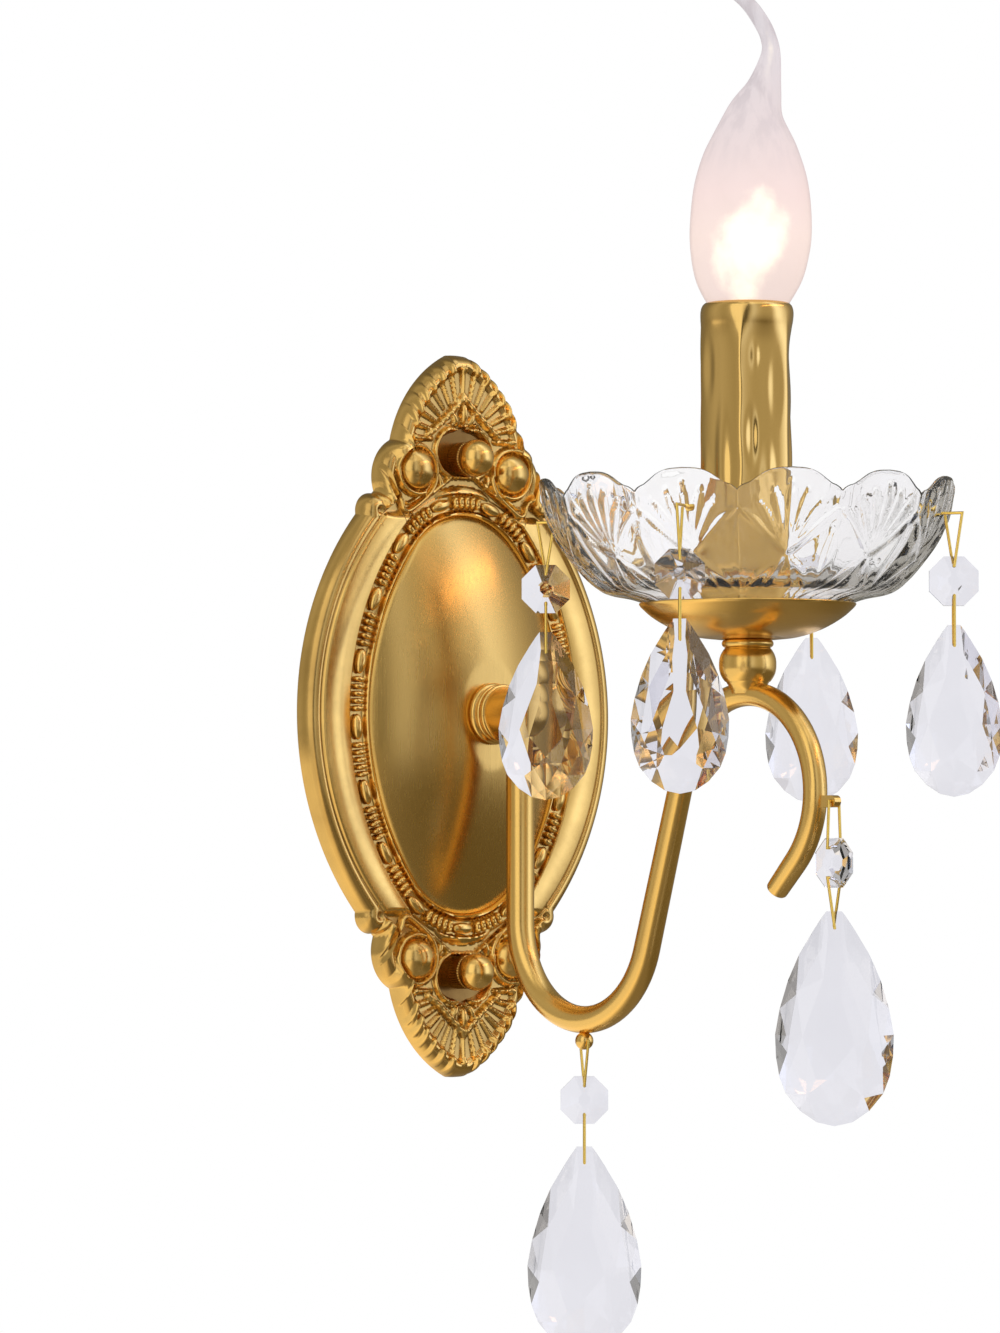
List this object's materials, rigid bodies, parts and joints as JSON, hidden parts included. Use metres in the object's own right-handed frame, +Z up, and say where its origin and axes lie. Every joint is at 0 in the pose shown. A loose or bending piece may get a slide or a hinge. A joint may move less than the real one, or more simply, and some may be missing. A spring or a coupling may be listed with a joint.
{
  "type": "crystal wall sconce",
  "caption": "Wall light with an oval relief backplate, a bent brass arm, a candle lamp in a scalloped glass dish and hanging cut-crystal drops.",
  "frame": {"origin": "on the wall plane, at the middle of the backplate and of its two wall screws", "axes": "+Z up, +X to the right of someone facing the wall, +Y into the wall, so the arm reaches along -Y"},
  "size_m": [0.1288, 0.1958, 0.3984],
  "materials": {
    "antique_brass": "brushed, antique",
    "plain_brass": "bright",
    "wire_brass": "bright wire",
    "zinc_steel": "zinc plated",
    "nickel": "nickel plated",
    "lampholder_plastic": "matt",
    "soft_washer": "matt",
    "pressed_glass": "pressed, clear",
    "cut_crystal": "cut and polished, clear",
    "frosted_glass": "frosted",
    "clear_glass": "clear"
  },
  "bodies": {
    "fixture": {"wall_bracket": "zinc_steel", "bracket_studs": "zinc_steel", "earth_screw": "plain_brass", "backplate": "antique_brass", "hub_collar": "antique_brass", "hub_nipple": "zinc_steel", "hub_washer": "zinc_steel", "hub_lock_nut": "zinc_steel", "arm_tube": "antique_brass", "hook_tab": "antique_brass", "eye_ball": "antique_brass", "arm_saddle": "antique_brass", "neck_ball": "antique_brass", "neck_ring": "antique_brass", "cup": "antique_brass", "candle_nipple": "zinc_steel", "dish_washer_lower": "soft_washer", "glass_dish": "pressed_glass", "dish_washer_upper": "soft_washer", "dish_nut": "zinc_steel", "candle_sleeve": "antique_brass", "lampholder_stem": "zinc_steel", "lampholder_body": "lampholder_plastic", "lampholder_shell": "plain_brass", "lampholder_contact": "plain_brass"},
    "pendant_front_left": {"hook_wire_front_left": "wire_brass", "octagon_front_left": "cut_crystal"},
    "drop_front_left_hanging": {"link_wire_front_left": "wire_brass", "drop_front_left": "cut_crystal"},
    "pendant_front_right": {"hook_wire_front_right": "wire_brass", "octagon_front_right": "cut_crystal"},
    "drop_front_right_hanging": {"link_wire_front_right": "wire_brass", "drop_front_right": "cut_crystal"},
    "pendant_back_right": {"hook_wire_back_right": "wire_brass", "octagon_back_right": "cut_crystal"},
    "drop_back_right_hanging": {"link_wire_back_right": "wire_brass", "drop_back_right": "cut_crystal"},
    "pendant_back_left": {"hook_wire_back_left": "wire_brass", "octagon_back_left": "cut_crystal"},
    "drop_back_left_hanging": {"link_wire_back_left": "wire_brass", "drop_back_left": "cut_crystal"},
    "pendant_tab": {"hook_wire_tab": "wire_brass", "octagon_tab": "cut_crystal"},
    "drop_tab_hanging": {"link_wire_tab": "wire_brass", "drop_tab": "cut_crystal"},
    "pendant_eye": {"hook_wire_eye": "wire_brass", "octagon_eye": "cut_crystal"},
    "drop_eye_hanging": {"link_wire_eye": "wire_brass", "drop_eye": "cut_crystal"},
    "bulb": {"bulb_base": "nickel", "bulb_contact": "nickel", "bulb_glass": "frosted_glass", "bulb_stem": "clear_glass", "bulb_filament": "nickel"},
    "ball_nut_upper_turning": {"ball_nut_upper": "antique_brass"},
    "ball_nut_lower_turning": {"ball_nut_lower": "antique_brass"}
  },
  "joints": [
    {"name": "pendant_front_left_swing", "type": "hinge", "parent": "fixture", "child": "pendant_front_left", "pos_m": [-0.05322, -0.16373, 0.0533], "axis": [-0.866, -0.5, 0], "range_deg": [-25, 25]},
    {"name": "drop_front_left_swing", "type": "hinge", "parent": "pendant_front_left", "child": "drop_front_left_hanging", "pos_m": [-0.05322, -0.16373, 0.0297], "axis": [-0.6428, -0.766, 0], "range_deg": [-30, 30]},
    {"name": "pendant_front_right_swing", "type": "hinge", "parent": "fixture", "child": "pendant_front_right", "pos_m": [0.03073, -0.18622, 0.0533], "axis": [0.5, -0.866, 0], "range_deg": [-25, 25]},
    {"name": "drop_front_right_swing", "type": "hinge", "parent": "pendant_front_right", "child": "drop_front_right_hanging", "pos_m": [0.03073, -0.18622, 0.0297], "axis": [-0.6428, -0.766, 0], "range_deg": [-30, 30]},
    {"name": "pendant_back_right_swing", "type": "hinge", "parent": "fixture", "child": "pendant_back_right", "pos_m": [0.05322, -0.10227, 0.0533], "axis": [0.866, 0.5, 0], "range_deg": [-25, 25]},
    {"name": "drop_back_right_swing", "type": "hinge", "parent": "pendant_back_right", "child": "drop_back_right_hanging", "pos_m": [0.05322, -0.10227, 0.0297], "axis": [-0.6428, -0.766, 0], "range_deg": [-30, 30]},
    {"name": "pendant_back_left_swing", "type": "hinge", "parent": "fixture", "child": "pendant_back_left", "pos_m": [-0.03073, -0.07978, 0.0533], "axis": [-0.5, 0.866, 0], "range_deg": [-25, 25]},
    {"name": "drop_back_left_swing", "type": "hinge", "parent": "pendant_back_left", "child": "drop_back_left_hanging", "pos_m": [-0.03073, -0.07978, 0.0297], "axis": [-0.6428, -0.766, 0], "range_deg": [-30, 30]},
    {"name": "pendant_tab_swing", "type": "hinge", "parent": "fixture", "child": "pendant_tab", "pos_m": [0, -0.1692, -0.0287], "axis": [-1, 0, 0], "range_deg": [-7, 25]},
    {"name": "drop_tab_swing", "type": "hinge", "parent": "pendant_tab", "child": "drop_tab_hanging", "pos_m": [0, -0.1692, -0.0503], "axis": [-1, 0, 0], "range_deg": [-30, 30]},
    {"name": "pendant_eye_swing", "type": "hinge", "parent": "fixture", "child": "pendant_eye", "pos_m": [0, -0.0611, -0.09741], "axis": [-0.342, -0.9397, 0], "range_deg": [-25, 25]},
    {"name": "drop_eye_swing", "type": "hinge", "parent": "pendant_eye", "child": "drop_eye_hanging", "pos_m": [0, -0.0611, -0.119], "axis": [-0.6428, -0.766, 0], "range_deg": [-30, 30]},
    {"name": "bulb_turn", "type": "hinge", "parent": "fixture", "child": "bulb", "pos_m": [0, -0.133, 0.115], "axis": [0, 0, 1], "continuous": true},
    {"name": "ball_nut_upper_turn", "type": "hinge", "parent": "fixture", "child": "ball_nut_upper_turning", "pos_m": [0, -0.008, 0.0773], "axis": [0, -1, 0], "continuous": true},
    {"name": "ball_nut_lower_turn", "type": "hinge", "parent": "fixture", "child": "ball_nut_lower_turning", "pos_m": [0, -0.008, -0.0773], "axis": [0, -1, 0], "continuous": true}
  ]
}
